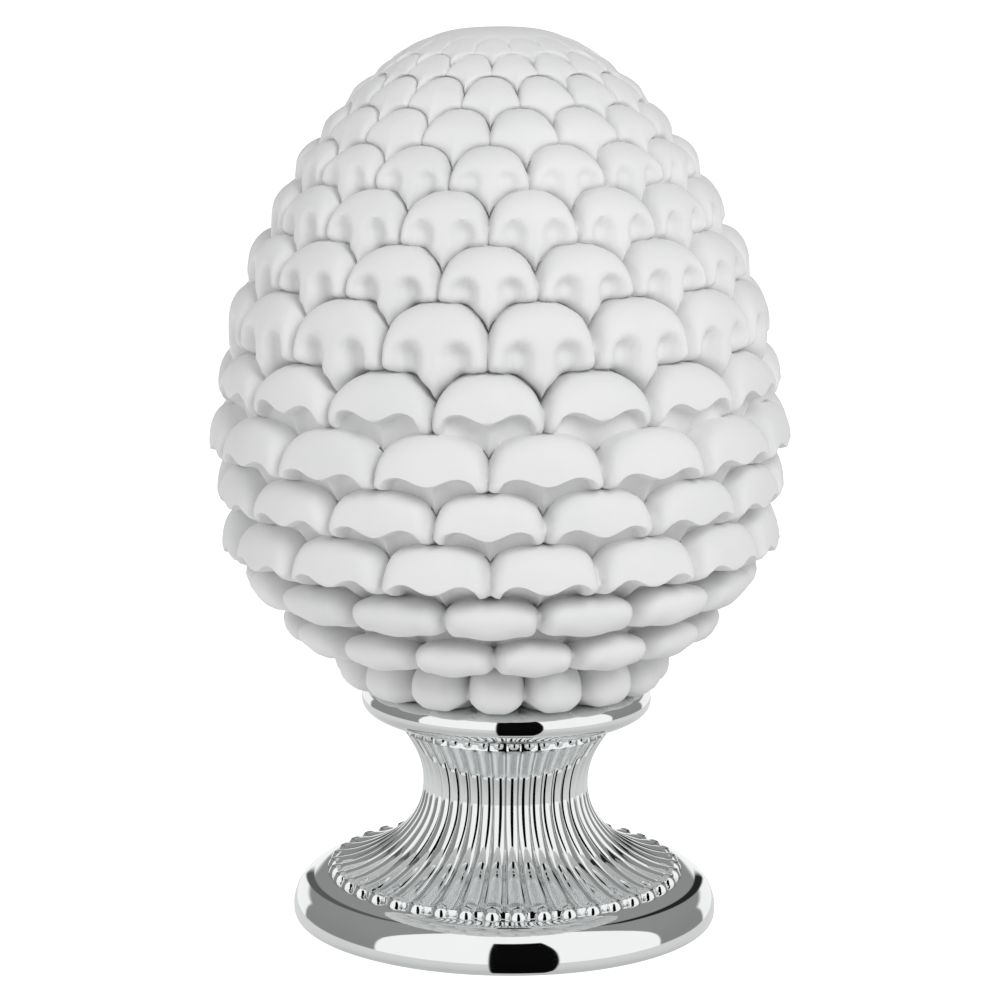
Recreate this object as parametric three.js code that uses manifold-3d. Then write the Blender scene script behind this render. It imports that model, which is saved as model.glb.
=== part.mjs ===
// A table ornament: a matt white ceramic pinecone standing on a chromed pedestal
// with a smooth foot, a waisted reeded stem between two rings of beads, and a collar.
// Millimetres, +Z up, origin at the centre of the foot's flat underside.
// The front is -Y; azimuths below are measured from the front towards +X.

import * as THREE from 'three';
import { mergeVertices } from 'three/addons/utils/BufferGeometryUtils.js';
import Module from 'manifold-3d';

const wasm = await Module();
wasm.setup();

// ---------------------------------------------------------------- sizes (mm)

const OVERALL_H = 300;          // floor to the tip of the cone

// pedestal
const REEDS = 42;               // reeds on the stem, one bead at each end of each reed
const FOOT_R = 71.8;            // widest radius of the foot
const FOOT_UNDER_R = 70.3;      // flat ring that stands on the table
const FOOT_TOP_H = 15.6;        // where the foot's dome meets the bead groove
const BEAD_RING_R = 57.0;       // centre circle of the large beads
const BEAD_RING_H = 16.2;
const BEAD_R = 3.4;
const SKIRT_R = 57.8;           // lower end of the reeds
const SKIRT_H = 17.2;
const NECK_R = 28.0;            // slimmest part of the stem
const NECK_H = 46.4;
const SHOULDER_R = 35.6;        // upper end of the reeds
const SHOULDER_H = 65.6;
const SMALL_RING_R = 33.9;      // centre circle of the small beads
const SMALL_RING_H = 67.0;
const SMALL_BEAD_R = 2.1;
const REED_DEPTH_NECK = 0.9;    // crest to valley
const REED_DEPTH_SKIRT = 1.7;
const COLLAR_R = 48.9;
const COLLAR_TOP_H = 80.7;
const COLLAR_TOP_R = 47.6;      // flat top of the collar

// cone
const SEAT_GAP = 0.3;           // between the collar and the cone's underside
const SEAT_H = COLLAR_TOP_H + SEAT_GAP;
const SCALES = 16;              // scales in every row, each row turned half a scale
const EVEN_JOINT_DEG = -2.2;    // azimuth of one joint between scales in the even rows
const CONE_LEAN_DEG = 1.25;     // the cone leans a little to the left on its seat
// radius and height of the fullest belt of each row of scales, bottom to top
const BELTS = [
  [52.8, 85.1], [72.8, 98.9], [84.7, 115.4], [93.3, 130.5], [94.5, 149.0], [96.7, 164.8],
  [93.3, 185.0], [89.6, 202.8], [82.9, 222.3], [74.7, 239.1], [66.3, 255.6], [57.2, 267.4],
  [48.1, 277.8], [38.7, 286.5], [28.9, 293.5], [19.2, 297.8],
];
const CROWN = [9.4, 299.6];     // smooth crown above the last row
const TIP_RISE = 0.68;          // a scale's tip, in row steps above its belt
const SHOULDER_DROP = 0.32;     // how far the scale's edge falls from tip to joint
const RELIEF = 5.8;             // depth of the crease round a full-size scale
const FULL_SCALE_STEP = 19.5;   // row step at which the relief is full depth

// ---------------------------------------------------------------- helpers

const RAD = Math.PI / 180;

function toManifold(geometry) {
  const g = geometry.clone();
  g.deleteAttribute('normal');
  g.deleteAttribute('uv');
  const m = mergeVertices(g, 1e-4);
  return new wasm.Manifold(new wasm.Mesh({
    numProp: 3,
    vertProperties: new Float32Array(m.attributes.position.array),
    triVerts: new Uint32Array(m.index.array),
  }));
}

function toGeometry(manifold) {
  const mesh = manifold.getMesh();
  const g = new THREE.BufferGeometry();
  const n = mesh.numProp;
  const pos = new Float32Array(mesh.vertProperties.length / n * 3);
  for (let i = 0; i < pos.length / 3; i++) {
    for (let k = 0; k < 3; k++) pos[3 * i + k] = mesh.vertProperties[n * i + k];
  }
  g.setAttribute('position', new THREE.BufferAttribute(pos, 3));
  g.setIndex(new THREE.BufferAttribute(new Uint32Array(mesh.triVerts), 1));
  g.computeVertexNormals();
  return g;
}

// A solid of revolution about +Z from [radius, height] pairs that start and end on the axis.
// place(azimuth, ring, column, radius, height) may return a changed
// [radius, height, shift along X, turn in degrees],
// and flip(ring, column) picks the other diagonal for the face between a ring and the next.
function turned(profile, segments, startDeg = 0, place = null, flip = null) {
  const pts = profile.map(([r, h]) => new THREE.Vector2(r, h));
  const g = new THREE.LatheGeometry(pts, segments, startDeg * RAD, Math.PI * 2);
  g.rotateX(Math.PI / 2);
  if (place) {
    const p = g.attributes.position;
    const rings = profile.length;
    for (let i = 0; i <= segments; i++) {
      const column = i % segments;
      const a = startDeg * RAD + column / segments * Math.PI * 2;
      for (let j = 0; j < rings; j++) {
        const [r, h, shift = 0, turn = 0] = place(a, j, column, profile[j][0], profile[j][1]);
        const b = a + turn * RAD;
        p.setXYZ(i * rings + j, r * Math.sin(b) + shift, -r * Math.cos(b), h);
      }
    }
  }
  if (flip) {
    const index = [];
    const n = profile.length;
    for (let i = 0; i < segments; i++) {
      for (let j = 0; j < n - 1; j++) {
        const a = i * n + j, b = a + n, c = b + 1, d = a + 1;
        if (j === 0) index.push(b, c, d);
        else if (j === n - 2) index.push(a, b, d);
        else if (flip(j, i)) index.push(a, b, c, a, c, d);
        else index.push(a, b, d, b, c, d);
      }
    }
    g.setIndex(index);
  }
  return toManifold(g);
}

// Smooth run of [radius, height] pairs through a few stations.
function fair(stations, divisions) {
  const curve = new THREE.SplineCurve(stations.map(([r, h]) => new THREE.Vector2(r, h)));
  return curve.getPoints(divisions).map((v) => [v.x, v.y]);
}

function union(list) {
  return list.reduce((a, b) => a.add(b));
}

// ---------------------------------------------------------------- pedestal

function stemRadius(h) {
  if (h >= NECK_H) {
    const t = (h - NECK_H) / (SHOULDER_H - NECK_H);
    return NECK_R + (SHOULDER_R - NECK_R) * Math.pow(t, 1.95);
  }
  const t = Math.min(1, (NECK_H - h) / (NECK_H - SKIRT_H));
  return SKIRT_R - (SKIRT_R - NECK_R) * Math.pow(1 - Math.pow(t, 2.2), 0.765);
}

function reedDepth(h) {
  const r = stemRadius(h);
  const t = (r - NECK_R) / (SKIRT_R - NECK_R);
  return REED_DEPTH_NECK + (REED_DEPTH_SKIRT - REED_DEPTH_NECK) * t;
}

function makePedestal() {
  const foot = turned([
    [0, 0], [FOOT_UNDER_R, 0],
    ...fair([[71.3, 0.8], [FOOT_R, 3.2], [70.0, 8.4], [66.4, 12.0], [62.0, 14.7], [58.5, FOOT_TOP_H]], 4),
    [50, FOOT_TOP_H], [0, FOOT_TOP_H],
  ], REEDS);

  // the stem: a waisted turning whose every second column is a valley between reeds
  const heights = [SKIRT_H, 19.2, 23.5, 30, 38, NECK_H, 56, SHOULDER_H];
  const stemProfile = [
    [0, 12], [52, 12], ...heights.map((h) => [stemRadius(h), h]), [34.4, 70], [0, 70],
  ];
  const stem = turned(stemProfile, REEDS * 2, 0, (a, j, column, r, h) => {
    const valley = column % 2 === 0;
    const cut = j > 0 && j < stemProfile.length - 1 && valley ? reedDepth(Math.min(Math.max(h, SKIRT_H), SHOULDER_H)) : 0;
    return [Math.max(0, r - cut), h];
  });

  const collar = turned([
    [0, 66.6], [34.0, 66.6],
    ...fair([[38.3, 68.4], [46.6, 71.5], [COLLAR_R, 76.3], [48.4, 79.6]], 4),
    [COLLAR_TOP_R, COLLAR_TOP_H], [0, COLLAR_TOP_H],
  ], REEDS);

  const beads = [];
  for (let i = 0; i < REEDS; i++) {
    const a = (i + 0.5) / REEDS * 2 * Math.PI;
    const bead = new THREE.SphereGeometry(BEAD_R, 6, 3);
    bead.rotateX(Math.PI / 2);
    bead.rotateZ(a);
    bead.translate(BEAD_RING_R * Math.sin(a), -BEAD_RING_R * Math.cos(a), BEAD_RING_H);
    beads.push(toManifold(bead));
    const small = new THREE.OctahedronGeometry(SMALL_BEAD_R, 0);
    small.rotateZ(a);
    small.translate(SMALL_RING_R * Math.sin(a), -SMALL_RING_R * Math.cos(a), SMALL_RING_H);
    beads.push(toManifold(small));
  }
  return toGeometry(union([foot, stem, collar, ...beads]));
}

// ---------------------------------------------------------------- pinecone

// Meridian through the belts: t = 1, 2, 3... is the fullest belt of row 1, 2, 3...
const meridian = new THREE.CatmullRomCurve3(
  [[38.0, 77.5], ...BELTS, CROWN, [0, OVERALL_H]].map(([r, h]) => new THREE.Vector3(r, h, 0)),
  false, 'centripetal');
const SPANS = BELTS.length + 2;

function beltPoint(t) {
  return meridian.getPoint(Math.min(1, Math.max(0, t / SPANS)));
}

function rowStep(t) {
  const a = beltPoint(t - 0.5);
  const b = beltPoint(t + 0.5);
  return a.distanceTo(b);
}

// a point of the scaled surface: t along the meridian, depth below the belts' envelope
function onCone(t, depth) {
  const a = beltPoint(t - 0.02);
  const b = beltPoint(t + 0.02);
  const p = beltPoint(t);
  const d = b.sub(a).normalize();
  const scale = Math.min(1, rowStep(t) / FULL_SCALE_STEP);
  return [p.x - d.y * depth * RELIEF * scale, p.y + d.x * depth * RELIEF * scale];
}

// Rings of one row. Each entry holds, for a scale's middle, shoulder and joint columns,
// the place in row steps above the belt and the depth in parts of the relief.
const SHOULDER_SHIFT_DEG = 2.7;  // a shoulder lies this much nearer the joint than halfway
const NOTCH = TIP_RISE - SHOULDER_DROP;
const SCALE_RINGS = [
  { rise: [0.0, 0.05, -0.1], depth: [0.0, 0.08, 0.85] },                   // lip above the two hollows
  { rise: [0.36, 0.3, 0.16], depth: [0.12, 0.2, 1.3] },                    // face of the scale
  { rise: [TIP_RISE, TIP_RISE - 0.08, NOTCH], depth: [0.95, 0.9, 1.7] },   // its rounded upper edge
];
const SMALL_RINGS = [
  { rise: [0.0, 0.0, 0.0], depth: [0.0, 0.05, 0.5] },
  { rise: [TIP_RISE, TIP_RISE - 0.05, NOTCH + 0.1], depth: [0.8, 0.85, 1.0] },
];

function makePinecone() {
  const rings = [];
  rings.push({ row: 0, radii: [46.5, 43.5, 36.5], height: SEAT_H });
  BELTS.forEach((belt, i) => {
    const row = i + 1;
    (row <= 11 ? SCALE_RINGS : SMALL_RINGS).forEach((ring) => rings.push({ row, ...ring }));
  });
  const profile = [[0, SEAT_H], ...rings.map(() => [10, 10]), [0, OVERALL_H]];

  const shiftAt = (h) => -(h - SEAT_H) * Math.tan(CONE_LEAN_DEG * RAD);
  const cone = turned(profile, SCALES * 4, EVEN_JOINT_DEG, (a, j, column, r, h) => {
    if (j === 0 || j === profile.length - 1) return [r, h, shiftAt(h)];
    const ring = rings[j - 1];
    // 0 = middle of a scale, 1 and 3 = its shoulders, 2 = joint, for this ring's row
    const place = (column + (ring.row > 0 && ring.row % 2 === 0 ? 2 : 0)) % 4;
    const kind = place === 0 ? 0 : place === 2 ? 2 : 1;
    const turn = place === 1 ? SHOULDER_SHIFT_DEG : place === 3 ? -SHOULDER_SHIFT_DEG : 0;
    if (ring.row === 0) return [ring.radii[kind], ring.height, 0, turn];
    const [rr, hh] = onCone(ring.row + ring.rise[kind], ring.depth[kind]);
    const safe = Math.max(hh, SEAT_H + 0.8);
    return [rr, safe, shiftAt(safe), turn];
  }, (j, column) => {
    const row = j === 0 ? 0 : rings[j - 1].row;
    return ((column >> 1) + row) % 2 === 0;
  });
  return toGeometry(cone);
}

// ---------------------------------------------------------------- scene graph

const bisque = new THREE.MeshStandardMaterial({ name: 'bisque', color: 0xf1f1f0, roughness: 0.78, metalness: 0.0 });
const chrome = new THREE.MeshStandardMaterial({ name: 'chrome', color: 0xdfe3e4, roughness: 0.06, metalness: 1.0 });

const pedestal = new THREE.Mesh(makePedestal(), chrome);
pedestal.name = 'pedestal';

const pinecone = new THREE.Mesh(makePinecone(), bisque);
pinecone.name = 'pinecone';

const ornament = new THREE.Group();
ornament.name = 'pinecone_on_pedestal';
ornament.add(pedestal, pinecone);

export default ornament;
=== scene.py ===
import math

import bpy
import numpy as np
from mathutils import Euler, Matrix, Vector


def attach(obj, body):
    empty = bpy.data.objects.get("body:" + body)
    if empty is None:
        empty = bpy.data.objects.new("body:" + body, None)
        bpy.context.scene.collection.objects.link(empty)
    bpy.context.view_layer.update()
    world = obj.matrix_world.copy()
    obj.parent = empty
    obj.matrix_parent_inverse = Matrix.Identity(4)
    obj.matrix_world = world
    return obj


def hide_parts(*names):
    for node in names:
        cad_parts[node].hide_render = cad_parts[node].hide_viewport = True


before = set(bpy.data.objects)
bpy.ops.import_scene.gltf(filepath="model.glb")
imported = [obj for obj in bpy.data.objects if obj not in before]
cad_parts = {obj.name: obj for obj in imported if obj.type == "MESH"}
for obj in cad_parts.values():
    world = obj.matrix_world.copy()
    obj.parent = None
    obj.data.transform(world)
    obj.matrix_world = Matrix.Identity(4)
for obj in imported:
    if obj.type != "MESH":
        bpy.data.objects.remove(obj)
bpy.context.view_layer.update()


MM = 0.001
RAD = math.pi / 180

# ------------------------------------------------------------------ sizes (mm)

# The cone. Radius and height of the fullest belt of each row of scales, bottom to top.
BELTS = [
    (52.8, 85.1), (72.8, 98.9), (84.7, 115.4), (93.3, 130.5), (94.5, 149.0), (96.7, 164.8),
    (93.3, 185.0), (89.6, 202.8), (82.9, 222.3), (74.7, 239.1), (66.3, 255.6), (57.2, 267.4),
    (48.1, 277.8), (38.7, 286.5), (28.9, 293.5), (19.2, 297.8),
]
SEAT_H = 81.0
OVERALL_H = 300.0
SCALES = 16
PITCH_DEG = 360.0 / SCALES
EVEN_JOINT_DEG = -2.2
CONE_LEAN_DEG = 1.1
CONE_OFFSET = 1.4

# radius and height of the rounded tip of each row's scales
TIPS = [
    (50.4, 93.8), (67.3, 108.8), (80.0, 124.8), (89.1, 143.8), (91.5, 160.8), (91.5, 178.8),
    (85.8, 197.2), (80.7, 218.5), (75.7, 235.2), (67.3, 251.5), (59.9, 264.8), (49.8, 275.8),
    (42.0, 285.4), (31.9, 291.9), (23.5, 297.0),
]
# profiles of the two rows of beans, from the crease below to the crease above, and their middle height
BEANS = {2: (103.4, [(50.0, 98.4), (57.8, 97.2), (64.8, 97.2), (69.6, 98.7), (72.5, 101.5), (73.5, 104.5),
                     (72.5, 107.4), (69.0, 109.0), (63.5, 109.1)]),
         3: (119.1, [(64.0, 111.0), (71.0, 112.0), (77.0, 112.1), (81.7, 113.7), (84.6, 116.8), (85.7, 120.3),
                     (84.5, 123.5), (80.6, 125.1), (75.2, 125.3)])}
# height of the rounded arch that the top edge of a scale makes, and how squarely its top rolls back
ARCH = [0, 0, 0, 9.4, 12.6, 12.4, 14.6, 14.0, 13.0, 12.4, 10.8, 8.8, 7.8, 5.2, 3.2]
ROUND = [0, 0, 0, 2.1, 2.15, 2.15, 2.2, 2.25, 2.1, 1.95, 1.8, 1.65, 1.5, 1.3, 1.2]
# how far a scale's top ends behind the belt of the row above, or behind the cone's outline from row 8 up
STEP = [0, 0, 0, 1.3, 1.3, 1.3, 1.3, 5.4, 4.5, 4.1, 3.8, 3.3, 2.8, 1.8, 0.8]
# half the width of the gap between neighbours at its top, its part at the foot, the flank's rounding and
# its part at the foot, the groove's depth at the top of the joint and at its foot
GAP = [0.9, 1.2, 0.9, 1.4, 1.4, 1.4, 1.4, 1.5, 1.4, 1.25, 1.0, 0.8, 0.6, 0.4, 0.2]
GAP_LOW = [1.0, 1.0, 1.0, 0.45, 0.38, 0.36, 0.34, 0.3, 0.3, 0.3, 0.3, 0.25, 0.2, 0.2, 0.2]
FLANK = [6.5, 5.6, 5.6, 5.0, 4.6, 4.2, 4.0, 3.8, 3.6, 3.4, 3.0, 2.6, 2.2, 1.8, 1.6]
FLANK_LOW = [1.0, 1.0, 1.0, 0.6, 0.45, 0.4, 0.4, 0.4, 0.4, 0.4, 0.4, 0.5, 0.5, 0.5, 0.5]
GROOVE = [8.5, 8.0, 8.0, 7.0, 6.6, 6.4, 6.4, 6.2, 5.6, 5.2, 4.2, 3.2, 2.4, 1.5, 0.7]
GROOVE_LOW = [8.5, 8.0, 8.0, 4.4, 3.8, 3.4, 3.2, 2.8, 2.4, 2.1, 1.7, 1.2, 0.9, 0.6, 0.3]
# how far the face leans with the cone's outline instead of standing upright
TAPER = [0, 0, 0, 0, 0, 0, 0, 0, 0.1, 0.15, 0.25, 0.4, 0.6, 0.8, 1.0]
# how late the face turns in at its foot, in the middle and at the legs
BEND = [(0, 0), (0, 0), (0, 0), (3.0, 2.4), (2.6, 2.8), (2.4, 3.2), (2.4, 3.2), (5.0, 3.6), (4.8, 3.4),
        (4.4, 3.2), (4.0, 3.0), (3.4, 2.6), (3.0, 2.4), (2.6, 2.2), (2.0, 2.0)]
# depth of the two hollows under each scale's face, the part of it at the ridge between them, how far the
# cusp between their arches hangs down, how high the arches reach above the belt, half their wall's height
HOLLOW = [0, 0, 0, 6.0, 6.8, 6.8, 6.2, 0, 0, 0, 0, 0, 0, 0, 0]
RIDGE_DEPTH = [0, 0, 0, 0.6, 0.6, 0.55, 0.45, 0, 0, 0, 0, 0, 0, 0, 0]
CUSP = [0, 0, 0, 3.2, 3.0, 2.6, 3.0, 0, 0, 0, 0, 0, 0, 0, 0]
LIP = [0, 0, 0, 1.2, 0.0, 0.9, 0.0, 0, 0, 0, 0, 0, 0, 0, 0]
WALL = [0, 0, 0, 0.6, 0.6, 0.65, 0.9, 0, 0, 0, 0, 0, 0, 0, 0]
HOLLOW_AT, LEG_AT, RIDGE_HALF = 0.255, 0.41, 0.075      # in pitches from the middle of the scale
# soft thumb marks on the higher rows: depth, height of the middle, half height
DIMPLE = [None] * 7 + [(5.2, 202.6, 6.2), (4.5, 222.2, 5.4), (3.4, 239.4, 4.7), (2.2, 254.8, 4.0)] + [None] * 4

# ------------------------------------------------------------------ small helpers


def natural_spline(points):
    """Smooth curve through points at t = 0, 1, 2, ... Returns a function of t."""
    pts = np.array(points, float)
    n = len(pts)
    a = np.zeros((n, n))
    b = np.zeros_like(pts)
    a[0, 0] = a[-1, -1] = 1
    for i in range(1, n - 1):
        a[i, i - 1:i + 2] = (1, 4, 1)
        b[i] = 6 * (pts[i + 1] - 2 * pts[i] + pts[i - 1])
    m = np.linalg.solve(a, b)

    def at(t):
        t = np.asarray(t, float)
        i = np.clip(np.floor(t).astype(int), 0, n - 2)
        f = (t - i)[..., None]
        return (pts[i] * (1 - f) + pts[i + 1] * f
                + ((1 - f) ** 3 - (1 - f)) * m[i] / 6 + (f ** 3 - f) * m[i + 1] / 6)
    return at


def smooth(x):
    x = np.clip(x, 0, 1)
    return x * x * (3 - 2 * x)


def grid_mesh(name, rings, bottom, top):
    """Closed mesh from rings of points (n_rings, n_columns, 3) in mm, with a point closing each end."""
    n, c = rings.shape[:2]
    verts = np.concatenate([rings.reshape(-1, 3), [bottom, top]]) * MM
    j, i = np.meshgrid(np.arange(n - 1), np.arange(c), indexing="ij")
    i2 = (i + 1) % c
    quads = np.stack([j * c + i, j * c + i2, (j + 1) * c + i2, (j + 1) * c + i], -1).reshape(-1, 4)
    k = np.arange(c)
    k2 = (k + 1) % c
    low = np.stack([k2, k, np.full(c, n * c)], -1)
    high = np.stack([(n - 1) * c + k, (n - 1) * c + k2, np.full(c, n * c + 1)], -1)
    mesh = bpy.data.meshes.new(name)
    faces = [tuple(q) for q in quads.tolist()] + [tuple(q) for q in low.tolist()] + [tuple(q) for q in high.tolist()]
    mesh.from_pydata(verts.tolist(), [], faces)
    mesh.validate()
    obj = bpy.data.objects.new(name, mesh)
    bpy.context.scene.collection.objects.link(obj)
    return obj


def shade(obj, angle_deg):
    obj.data.shade_smooth()
    obj.data.set_sharp_from_angle(angle=angle_deg * RAD)


# ------------------------------------------------------------------ the cone

belt = natural_spline([(38.0, 77.5), *BELTS, (10.2, 299.6), (0, OVERALL_H), (-10.2, 299.6), (-19.2, 297.8)])


def cone_columns():
    half = [0, 0.02, 0.05, 0.09, 0.135, 0.18, 0.225, 0.275, 0.32, 0.365, 0.41, 0.45, 0.48]
    one = np.array(half + [0.5 + h for h in half])
    return (np.arange(SCALES)[:, None] + one[None, :]).reshape(-1) * PITCH_DEG + EVEN_JOINT_DEG


def quarter(u, p):
    """Quarter of a superellipse: 1 at u = 0, 0 at u = 1."""
    return np.clip(1 - np.clip(u, 0, 1) ** p, 0, 1) ** (1 / p)


def make_cone():
    az = cone_columns()
    t_fine = np.linspace(0.0, 18.0, 3600)
    e_fine = belt(t_fine)
    rings = []

    def lateral(row):
        joint = EVEN_JOINT_DEG + (PITCH_DEG / 2 if row % 2 else 0)
        return ((az - joint) / PITCH_DEG) % 1.0 - 0.5

    def envelope(h):
        return np.interp(h, e_fine[:, 1], e_fine[:, 0])

    def add(r, h):
        r = np.broadcast_to(r, az.shape)
        h = np.broadcast_to(h, az.shape)
        rings.append(np.stack([r * np.sin(az * RAD), -r * np.cos(az * RAD), h], -1))

    def groove(row, x, v):
        """How far the surface dips beside and between two neighbours, v from the foot to the top of the joint."""
        pitch = 2 * math.pi * BELTS[row - 1][0] / SCALES
        away = (0.5 - np.abs(x)) * pitch
        gap = GAP[row - 1] * (GAP_LOW[row - 1] + (1 - GAP_LOW[row - 1]) * v ** 2)
        deep = GROOVE_LOW[row - 1] + (GROOVE[row - 1] - GROOVE_LOW[row - 1]) * v ** 1.3
        flank = FLANK[row - 1] * (FLANK_LOW[row - 1] + (1 - FLANK_LOW[row - 1]) * v)
        q = np.clip(1 - (away - gap) / flank, 0, 1)
        return deep * (1 - quarter(q, 2.0))

    # first row: upright knuckles standing on the collar
    x = lateral(1)
    edge = 1 - quarter(np.abs(2 * x), 2.6)
    stations = natural_spline([(43.5, SEAT_H), (48.2, 81.1), (52.4, 82.2), (55.2, 84.6), (56.4, 87.7), (56.2, 91.4),
                               (54.8, 94.6), (52.2, 96.5), (48.0, 97.0)])
    for t in np.linspace(0, 8, 13):
        r, h = stations(t)
        h = SEAT_H + (h - SEAT_H) * (1 - 0.3 * edge * min(1, t / 5))
        # the lower corners of each knuckle are rounded off
        h = h + 3.6 * smooth((np.abs(2 * x) - 0.25) / 0.75) * min(1, t / 0.7) * float(np.clip((4 - t) / 3.3, 0, 1))
        add(r - groove(1, x, np.ones_like(x)), h)

    # second and third rows: plump beans that overhang the row below
    for row in (2, 3):
        x = lateral(row)
        middle, profile = BEANS[row]
        stations = natural_spline(profile)
        s = quarter(np.abs(2 * x) * 0.98, 1.95)
        s_low = quarter(np.abs(2 * x) * 0.98, 3.0)
        wave = 0.6 * np.exp(-((np.abs(x) - 0.27) / 0.11) ** 2) - 0.3 * np.exp(-(x / 0.13) ** 2)
        last = len(profile) - 1
        for t in np.linspace(0, last, 14):
            r, h = stations(t)
            low = float(smooth((middle - h) / 4.5))
            h = middle + (h - middle) * (0.14 + 0.86 * s if h > middle else 0.58 + 0.42 * s_low) + wave * low
            g = groove(row, x, np.ones_like(x)) * float(smooth(t / 1.6)) * (1 - 0.4 * float(smooth((t - last + 1.5) / 1.5)))
            foot_r, foot_h = r - g, h
            add(foot_r, foot_h)
        seat = r - 2.6 * smooth(2 * np.abs(x))

    for row in range(4, 16):
        x = lateral(row)
        ax = np.abs(x)
        rb, zb = BELTS[row - 1]
        rt, zt = TIPS[row - 1]
        reach = 0.96 if row <= 10 else 0.98
        edge = 1 - quarter(reach * 2 * ax, 2.15)
        top_h = np.maximum(zt - ARCH[row - 1] * edge, zb + 0.6)
        if row >= 8:
            inner_r = envelope(top_h) - STEP[row - 1]
        else:
            inner_r = np.full_like(x, min(rt - 2.6, BELTS[row][0] - STEP[row - 1]))
        hollow = HOLLOW[row - 1]
        dimple = DIMPLE[row - 1]
        n_dome = 7 if row <= 7 else (12 if row <= 9 else (10 if row == 10 else (8 if row == 11 else 6)))
        corner = smooth((ax - 0.22) / 0.26)
        bend = BEND[row - 1][0] + (BEND[row - 1][1] - BEND[row - 1][0]) * corner

        # lower edge of the face: two arches with a cusp between them, and a leg at either side
        lip = zb + LIP[row - 1]
        s_in = np.clip(1 - ax / HOLLOW_AT, 0, 1)
        s_out = np.clip((ax - HOLLOW_AT) / (LEG_AT - HOLLOW_AT), 0, 1)
        leg_drop = lip - (foot_h + 0.1 * (lip - foot_h))
        arch = lip - CUSP[row - 1] * 0.5 * (1 - np.cos(math.pi * s_in)) - leg_drop * (1 - quarter(s_out, 2.2))
        arch = arch - np.clip(ax - LEG_AT, 0, None) * 400.0
        half_wall = WALL[row - 1]
        ref = np.clip(arch, foot_h + 0.3 * (lip - foot_h), lip) if hollow else foot_h + 0.5 * (zb - foot_h)
        ref_lo = np.maximum(ref - half_wall, foot_h + 0.5 * (ref - foot_h))

        heights = []
        if hollow:
            for f in (0.08, 0.36, 0.68, 1.0):
                heights.append(foot_h + f * (ref_lo - foot_h))
            for f in (0.33, 0.66, 1.0):
                heights.append(ref_lo + f * (ref + half_wall - ref_lo))
            start = np.maximum(ref + half_wall, zb) + 0.4
            for f in (0.4, 0.8):
                heights.append(ref + half_wall + f * (start - ref - half_wall))
        else:
            start = np.full_like(x, zb)
            for f in (0.06, 0.2, 0.36, 0.52, 0.68, 0.8, 0.91) if dimple else (0.08, 0.25, 0.5, 0.78):
                heights.append(foot_h + f * (zb - foot_h))
        rise = top_h - zb
        first = np.arcsin(np.clip((start - zb) / rise, 0, 0.9))
        for k in range(n_dome + 1):
            theta = first + (math.pi / 2 - first) * (k / n_dome) ** (1.1 if dimple else 0.9)
            heights.append(zb + rise * np.sin(theta))

        ridge = np.exp(-(x / RIDGE_HALF) ** 2)
        depth_here = hollow * (1 - (1 - RIDGE_DEPTH[row - 1]) * ridge)
        for h in heights:
            # below the belt: the face runs down and turns in over the row below
            e_r = np.minimum(envelope(h), rb) + TAPER[row - 1] * np.clip(envelope(h) - rb, 0, None)
            w = np.clip((h - foot_h) / np.maximum(zb - foot_h, 1e-6), 0, 1)
            low_r = e_r - (e_r - seat) * (1 - w) ** bend
            dome_r = inner_r + (rb - inner_r) * quarter((h - zb) / rise, ROUND[row - 1])
            r = np.where(h < zb, low_r, dome_r)
            if hollow:
                inside = smooth((arch - h) / (2 * half_wall) + 0.5)
                g = np.clip((h - foot_h) / np.maximum(lip - foot_h, 1e-6), 0, 1)
                back = seat + (rb - depth_here - seat) * g
                r = r * (1 - inside) + np.minimum(r, back) * inside
            if dimple:
                # two soft thumb marks, steep above and running out below
                deep, at_h, half_h = dimple
                up = (h - at_h) / half_h
                away = np.sqrt(((ax - 0.225) / 0.165) ** 2 + np.where(up > 0, up, up / 2.2) ** 2)
                r = r - deep * smooth((1.0 - away) / 0.7)
            v = np.clip((h - foot_h) / np.maximum(top_h - foot_h, 1e-6), 0, 1)
            r = r - groove(row, x, v)
            if row >= 12:
                r = r + 0.3 * np.exp(-(x / 0.06) ** 2) * (1 - v) * smooth(v * 4)
            add(r, h)
        foot_r, foot_h = r, h
        seat = inner_r - 0.7 * GROOVE[row - 1] * smooth(2 * ax)

    # the smooth crown closes over the last row
    sink = envelope(foot_h) - foot_r
    for f in (0.12, 0.3, 0.55, 0.8, 1.0):
        h = foot_h + f * (298.2 - foot_h)
        add(envelope(h) - sink * (1 - f) ** 2, h)
    for t in (16.45, 16.8, 17.15, 17.5, 17.8):
        r, h = belt(t)
        add(r, h)

    rings = np.array(rings)
    lean = math.tan(CONE_LEAN_DEG * RAD)
    rise = rings[..., 0] * lean * smooth((rings[..., 2] - 83.0) / 14.0)
    rings[..., 0] -= (rings[..., 2] - SEAT_H) * lean + CONE_OFFSET
    rings[..., 2] += rise
    tip = (-(OVERALL_H - SEAT_H) * lean - CONE_OFFSET, 0, OVERALL_H)
    return grid_mesh("pinecone_ceramic", rings, (-CONE_OFFSET, 0, SEAT_H), tip)


# ------------------------------------------------------------------ the pedestal

REEDS = 42
BEAD_RING_R, BEAD_RING_H, BEAD_R = 57.2, 15.3, 3.25
SMALL_RING_R, SMALL_RING_H, SMALL_BEAD_R = 33.9, 67.2, 2.1


def run(stations, count):
    """Evenly spaced points on a smooth curve through the stations."""
    at = natural_spline(stations)
    t = np.linspace(0, len(stations) - 1, 800)
    p = at(t)
    d = np.concatenate([[0], np.cumsum(np.linalg.norm(np.diff(p, axis=0), axis=1))])
    return at(np.interp(np.linspace(0, d[-1], count), d, t))


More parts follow.
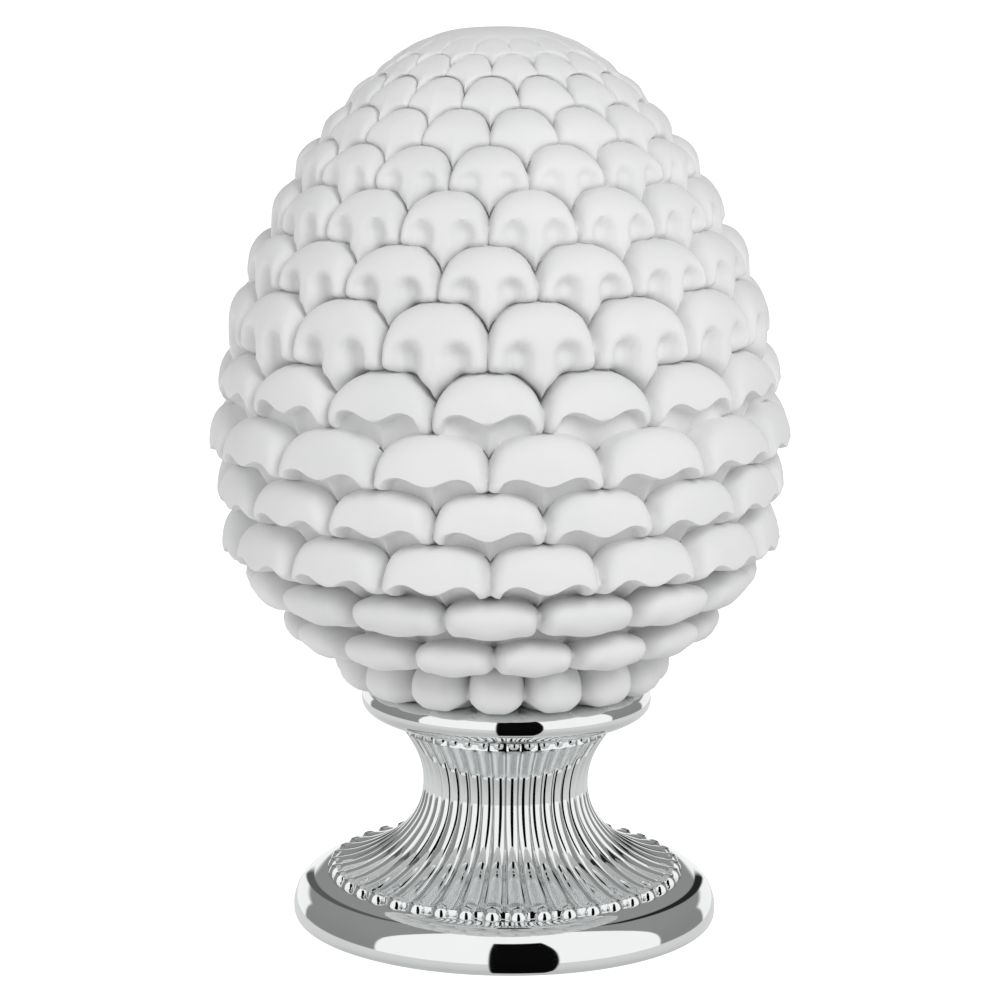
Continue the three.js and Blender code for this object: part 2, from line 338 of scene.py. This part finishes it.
def make_pedestal():
    foot = run([(70.4, 0.0), (71.5, 0.85), (71.9, 2.7), (71.8, 5.2), (70.7, 8.7), (68.4, 11.8), (65.2, 14.2),
                (61.6, 15.4), (58.9, 15.2), (57.9, 14.4)], 40)
    reeded = run([(58.0, 17.2), (56.2, 18.4), (52.8, 19.1), (47.1, 21.2), (40.4, 24.9), (35.3, 29.3), (31.6, 34.0), (29.4, 38.3),
                  (28.3, 42.4), (28.0, 46.4), (28.4, 50.4), (29.4, 54.5), (31.1, 58.5), (33.3, 62.2), (35.3, 65.2)], 64)
    collar = run([(34.9, 66.9), (36.0, 67.6), (38.3, 68.5), (42.7, 69.6), (46.4, 71.3), (48.4, 73.3), (48.95, 75.6),
                  (48.45, 77.9), (47.1, 79.7), (45.3, 80.55)], 34)
    prof = [(0.0, p) for p in ([(60.0, 0.0), (70.0, 0.0)])]
    prof += [(0.0, p) for p in foot[1:]]
    # reeds: depth of the valleys at each station, closing to nothing at both ends
    n = len(reeded)
    for i, p in enumerate(reeded):
        t = (p[0] - 28.0) / (57.8 - 28.0)
        depth = 0.9 + 1.0 * t
        ends = min(1.0, (i + 0.25) / 2.0, (n - 1 - i + 0.25) / 2.0)
        prof.append((depth * math.sqrt(ends), p))
    prof += [(0.0, p) for p in collar]
    prof += [(0.0, p) for p in ([(44.4, 80.7), (38.0, 80.7), (20.0, 80.7)])]
    pts = np.array([p for _, p in prof], float)
    depth = np.array([d for d, _ in prof])
    tangent = np.gradient(pts, axis=0)
    tangent /= np.linalg.norm(tangent, axis=1, keepdims=True)
    normal = np.stack([tangent[:, 1], -tangent[:, 0]], 1)

    fan = np.array([0, 0.15, 0.32, 0.5, 0.7, 0.88, 1.0])             # crest to valley
    one = np.concatenate([fan / 2, 1 - fan[::-1][1:-1] / 2])
    columns = (np.arange(REEDS)[:, None] + one[None, :]).reshape(-1)
    # crests lie over the beads, half a reed from the front
    az = (columns + 0.5) * 360 / REEDS
    u = 1 - np.abs((columns % 1.0) - 0.5) * 2                         # 0 at a crest, 1 at a valley
    fall = (1 - np.sqrt(1 - (0.95 * u) ** 2)) / (1 - math.sqrt(1 - 0.95 ** 2))
    rings = np.zeros((len(pts), len(az), 3))
    for k in range(len(pts)):
        p = pts[k][None, :] - normal[k][None, :] * (depth[k] * fall)[:, None]
        rings[k] = np.stack([p[:, 0] * np.sin(az * RAD), -p[:, 0] * np.cos(az * RAD), p[:, 1]], -1)
    body = grid_mesh("pedestal_chrome", rings, (0, 0, 0), (0, 0, 80.7))

    beads = []
    for ring_r, ring_h, r, name in ((BEAD_RING_R, BEAD_RING_H, BEAD_R, "large"),
                                    (SMALL_RING_R, SMALL_RING_H, SMALL_BEAD_R, "small")):
        seg, lat = (24, 14) if name == "large" else (16, 10)
        verts, faces = [], []
        for b in range(REEDS):
            a = (b + 0.5) * 360 / REEDS * RAD
            c = np.array([ring_r * math.sin(a), -ring_r * math.cos(a), ring_h])
            base = len(verts)
            verts.append(tuple((c - (0, 0, r)) * MM))
            for i in range(1, lat):
                th = math.pi * i / lat
                for j in range(seg):
                    ph = 2 * math.pi * j / seg
                    verts.append(tuple((c + r * np.array([math.sin(th) * math.cos(ph), math.sin(th) * math.sin(ph), -math.cos(th)])) * MM))
            verts.append(tuple((c + (0, 0, r)) * MM))
            last = len(verts) - 1
            for j in range(seg):
                j2 = (j + 1) % seg
                faces.append((base, base + 1 + j2, base + 1 + j))
                for i in range(lat - 2):
                    q = base + 1 + i * seg
                    faces.append((q + j, q + j2, q + seg + j2, q + seg + j))
                q = base + 1 + (lat - 2) * seg
                faces.append((q + j, q + j2, last))
        mesh = bpy.data.meshes.new("beads_" + name)
        mesh.from_pydata(verts, [], faces)
        obj = bpy.data.objects.new("beads_" + name, mesh)
        bpy.context.scene.collection.objects.link(obj)
        beads.append(obj)
    for b in beads:
        mod = body.modifiers.new("union", "BOOLEAN")
        mod.operation = "UNION"
        mod.object = b
        mod.solver = "MANIFOLD"
        with bpy.context.temp_override(object=body, active_object=body, selected_objects=[body]):
            bpy.ops.object.modifier_apply(modifier=mod.name)
        bpy.data.objects.remove(b)
    return body


# ------------------------------------------------------------------ materials


def new_material(name):
    mat = bpy.data.materials.new(name)
    mat.use_nodes = True
    nt = mat.node_tree
    bsdf = next(n for n in nt.nodes if n.type == "BSDF_PRINCIPLED")
    return mat, nt, bsdf


def ceramic():
    mat, nt, bsdf = new_material("bisque")
    nodes, links = nt.nodes, nt.links
    coord = nodes.new("ShaderNodeTexCoord")
    grain = nodes.new("ShaderNodeTexNoise")
    grain.inputs["Scale"].default_value = 900
    grain.inputs["Detail"].default_value = 3
    grain.inputs["Roughness"].default_value = 0.6
    soft = nodes.new("ShaderNodeTexNoise")
    soft.inputs["Scale"].default_value = 38
    soft.inputs["Detail"].default_value = 3
    links.new(coord.outputs["Object"], grain.inputs["Vector"])
    links.new(coord.outputs["Object"], soft.inputs["Vector"])
    tone = nodes.new("ShaderNodeValToRGB")
    tone.color_ramp.elements[0].position = 0.3
    tone.color_ramp.elements[0].color = (0.695, 0.698, 0.70, 1)
    tone.color_ramp.elements[1].position = 0.7
    tone.color_ramp.elements[1].color = (0.74, 0.74, 0.738, 1)
    links.new(soft.outputs["Fac"], tone.inputs["Fac"])
    links.new(tone.outputs["Color"], bsdf.inputs["Base Color"])
    rough = nodes.new("ShaderNodeMapRange")
    rough.inputs["To Min"].default_value = 0.5
    rough.inputs["To Max"].default_value = 0.66
    links.new(soft.outputs["Fac"], rough.inputs["Value"])
    links.new(rough.outputs["Result"], bsdf.inputs["Roughness"])
    bump = nodes.new("ShaderNodeBump")
    bump.inputs["Strength"].default_value = 0.08
    bump.inputs["Distance"].default_value = 0.0003
    links.new(grain.outputs["Fac"], bump.inputs["Height"])
    links.new(bump.outputs["Normal"], bsdf.inputs["Normal"])
    bsdf.inputs["IOR"].default_value = 1.45
    return mat


def chrome():
    mat, nt, bsdf = new_material("chrome")
    nodes, links = nt.nodes, nt.links
    coord = nodes.new("ShaderNodeTexCoord")
    haze = nodes.new("ShaderNodeTexNoise")
    haze.inputs["Scale"].default_value = 60
    haze.inputs["Detail"].default_value = 4
    links.new(coord.outputs["Object"], haze.inputs["Vector"])
    rough = nodes.new("ShaderNodeMapRange")
    rough.inputs["To Min"].default_value = 0.025
    rough.inputs["To Max"].default_value = 0.055
    links.new(haze.outputs["Fac"], rough.inputs["Value"])
    links.new(rough.outputs["Result"], bsdf.inputs["Roughness"])
    tone = nodes.new("ShaderNodeValToRGB")
    tone.color_ramp.elements[0].color = (0.80, 0.815, 0.815, 1)
    tone.color_ramp.elements[1].color = (0.86, 0.875, 0.875, 1)
    links.new(haze.outputs["Fac"], tone.inputs["Fac"])
    links.new(tone.outputs["Color"], bsdf.inputs["Base Color"])
    bsdf.inputs["Metallic"].default_value = 1.0
    bump = nodes.new("ShaderNodeBump")
    bump.inputs["Strength"].default_value = 0.02
    bump.inputs["Distance"].default_value = 0.0002
    links.new(haze.outputs["Fac"], bump.inputs["Height"])
    links.new(bump.outputs["Normal"], bsdf.inputs["Normal"])
    return mat


# ------------------------------------------------------------------ build

cone = make_cone()
shade(cone, 60)
cone.data.materials.clear()
cone.data.materials.append(ceramic())
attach(cone, "root")
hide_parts("pinecone")

pedestal = make_pedestal()
shade(pedestal, 42)
pedestal.data.materials.clear()
pedestal.data.materials.append(chrome())
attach(pedestal, "root")
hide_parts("pedestal")

for o in (cone, pedestal):
    print("TRIANGLES", o.name, sum(len(p.vertices) - 2 for p in o.data.polygons))

# ------------------------------------------------------------------ studio

scene = bpy.context.scene
scene.view_settings.view_transform = "Standard"
scene.view_settings.look = "None"
scene.view_settings.exposure = 0.0
scene.view_settings.gamma = 1.0

# floor, seen by the camera only; diffuse rays see the soft room light and mirrors see the room's lower half instead
floor_mesh = bpy.data.meshes.new("floor")
floor_mesh.from_pydata([(-6, -4, 0), (6, -4, 0), (6, 16, 0), (-6, 16, 0)], [], [(0, 1, 2, 3)])
floor = bpy.data.objects.new("floor", floor_mesh)
scene.collection.objects.link(floor)
fmat, fnt, fbsdf = new_material("floor_paper")
fbsdf.inputs["Base Color"].default_value = (0.9, 0.9, 0.9, 1)
fbsdf.inputs["Roughness"].default_value = 0.9
fbsdf.inputs["Specular IOR Level"].default_value = 0.1
fbsdf.inputs["Emission Color"].default_value = (1, 1, 1, 1)
fbsdf.inputs["Emission Strength"].default_value = 0.75
floor_mesh.materials.append(fmat)
floor.visible_glossy = False
floor.visible_diffuse = False

# the room: what the camera sees behind the object, the soft light all round,
# and the panels that mirrors show
world = scene.world or bpy.data.worlds.new("room")
scene.world = world
world.use_nodes = True
wt = world.node_tree
for n in list(wt.nodes):
    wt.nodes.remove(n)
N, L = wt.nodes, wt.links


def math_node(op, a, b=None, c=None):
    n = N.new("ShaderNodeMath")
    n.operation = op
    for k, v in enumerate((a, b, c)):
        if v is None:
            continue
        if isinstance(v, (int, float)):
            n.inputs[k].default_value = v
        else:
            L.new(v, n.inputs[k])
    return n.outputs[0]


coord = N.new("ShaderNodeTexCoord")
split = N.new("ShaderNodeSeparateXYZ")
L.new(coord.outputs["Generated"], split.inputs[0])
X, Y, Z = split.outputs
az = math_node("MULTIPLY", math_node("ARCTAN2", X, math_node("MULTIPLY", Y, -1.0)), 180 / math.pi)
el = math_node("MULTIPLY", math_node("ARCSINE", Z), 180 / math.pi)


def step_up(v, edge, width):
    """0 below the edge, 1 above it, over a soft width."""
    n = N.new("ShaderNodeMapRange")
    n.interpolation_type = "SMOOTHSTEP"
    n.inputs["From Min"].default_value = edge - width / 2
    n.inputs["From Max"].default_value = edge + width / 2
    L.new(v, n.inputs["Value"])
    return n.outputs["Result"]


def window(v, lo, hi, width):
    return math_node("SUBTRACT", step_up(v, lo, width), step_up(v, hi, width))


def layer(under, value, mask):
    """under where mask is 0, value where mask is 1."""
    d = math_node("SUBTRACT", value, under)
    return math_node("MULTIPLY_ADD", d, mask, under)


# mirrors
back = math_node("SUBTRACT", 1.0, window(az, -134, 134, 4))
side = window(el, -4, 90, 3)
room = layer(0.27, 0.30, step_up(el, 20, 60))
room = layer(room, 1.0, math_node("MULTIPLY", back, window(el, -90, 12, 6)))
floor_tone = layer(0.58, 0.74, step_up(el, -30, 30))
room = layer(room, floor_tone, math_node("SUBTRACT", 1.0, step_up(el, -9, 2.5)))
panel = math_node("MULTIPLY", window(az, -72, 91, 2), window(el, -10, 85, 2))
room = layer(room, 1.05, panel)
slant_r = math_node("MULTIPLY", window(math_node("MULTIPLY_ADD", az, 1.26, math_node("ADD", el, -209.5)), -6, 6, 3),
                    window(az, 118, 164, 5))
slant_l = math_node("MULTIPLY", window(math_node("MULTIPLY_ADD", az, -1.26, math_node("ADD", el, -209.5)), -6, 6, 3),
                    window(az, -164, -118, 5))
room = layer(room, 0.02, slant_r)
room = layer(room, 0.11, slant_l)
card = math_node("MULTIPLY", window(az, -8, 29, 1.5), window(el, -55, 58, 3))
room = layer(room, 0.003, card)

path = N.new("ShaderNodeLightPath")
mirror = N.new("ShaderNodeBackground")
L.new(room, mirror.inputs["Color"])
soft = N.new("ShaderNodeBackground")
soft_value = layer(layer(0.84, 0.58, step_up(el, -12, 50)), 0.15, step_up(el, 58, 50))
around = math_node("ADD", math_node("MULTIPLY", window(az, -160, -35, 50), 0.6),
                   math_node("MULTIPLY", window(az, 60, 165, 50), 0.25))
soft_value = math_node("MULTIPLY", soft_value, math_node("ADD", around, 1.0))
L.new(soft_value, soft.inputs["Color"])
seen = N.new("ShaderNodeBackground")
seen.inputs["Color"].default_value = (1, 1, 1, 1)
seen.inputs["Strength"].default_value = 1.0
mix1 = N.new("ShaderNodeMixShader")
L.new(path.outputs["Is Glossy Ray"], mix1.inputs["Fac"])
L.new(soft.outputs[0], mix1.inputs[1])
L.new(mirror.outputs[0], mix1.inputs[2])
mix2 = N.new("ShaderNodeMixShader")
L.new(path.outputs["Is Camera Ray"], mix2.inputs["Fac"])
L.new(mix1.outputs[0], mix2.inputs[1])
L.new(seen.outputs[0], mix2.inputs[2])
out = N.new("ShaderNodeOutputWorld")
L.new(mix2.outputs[0], out.inputs["Surface"])


def area(name, power, size, azimuth, elevation, distance, target=(0, 0, 0.19)):
    light = bpy.data.lights.new(name, "AREA")
    light.shape = "DISK"
    light.size = size
    light.energy = power
    obj = bpy.data.objects.new(name, light)
    scene.collection.objects.link(obj)
    a, e = azimuth * RAD, elevation * RAD
    t = Vector(target)
    obj.location = t + distance * Vector((math.sin(a) * math.cos(e), -math.cos(a) * math.cos(e), math.sin(e)))
    obj.rotation_euler = (t - obj.location).to_track_quat("-Z", "Y").to_euler()
    obj.visible_glossy = False
    obj.visible_camera = False
    return obj


area("key", 13.1, 0.8, 26, 32, 1.6)
area("fill", 1.3, 1.2, -50, 30, 1.8)

# ------------------------------------------------------------------ camera

cam = bpy.data.cameras.new("camera")
cam.sensor_fit = "HORIZONTAL"
cam.sensor_width = 36.0
cam.lens = 115.6
cam.clip_start = 0.05
cam.clip_end = 60
cam_obj = bpy.data.objects.new("camera", cam)
scene.collection.objects.link(cam_obj)
PITCH = 10.1
DIST = 1.0762
cam_obj.location = (-0.0028, -DIST * math.cos(PITCH * RAD), 0.1429 + DIST * math.sin(PITCH * RAD))
base = Euler(((90 - PITCH) * RAD, 0, 0)).to_matrix()
roll = Euler((0, 0, 0.55 * RAD)).to_matrix()
cam_obj.rotation_euler = (base @ roll).to_euler()
scene.camera = cam_obj
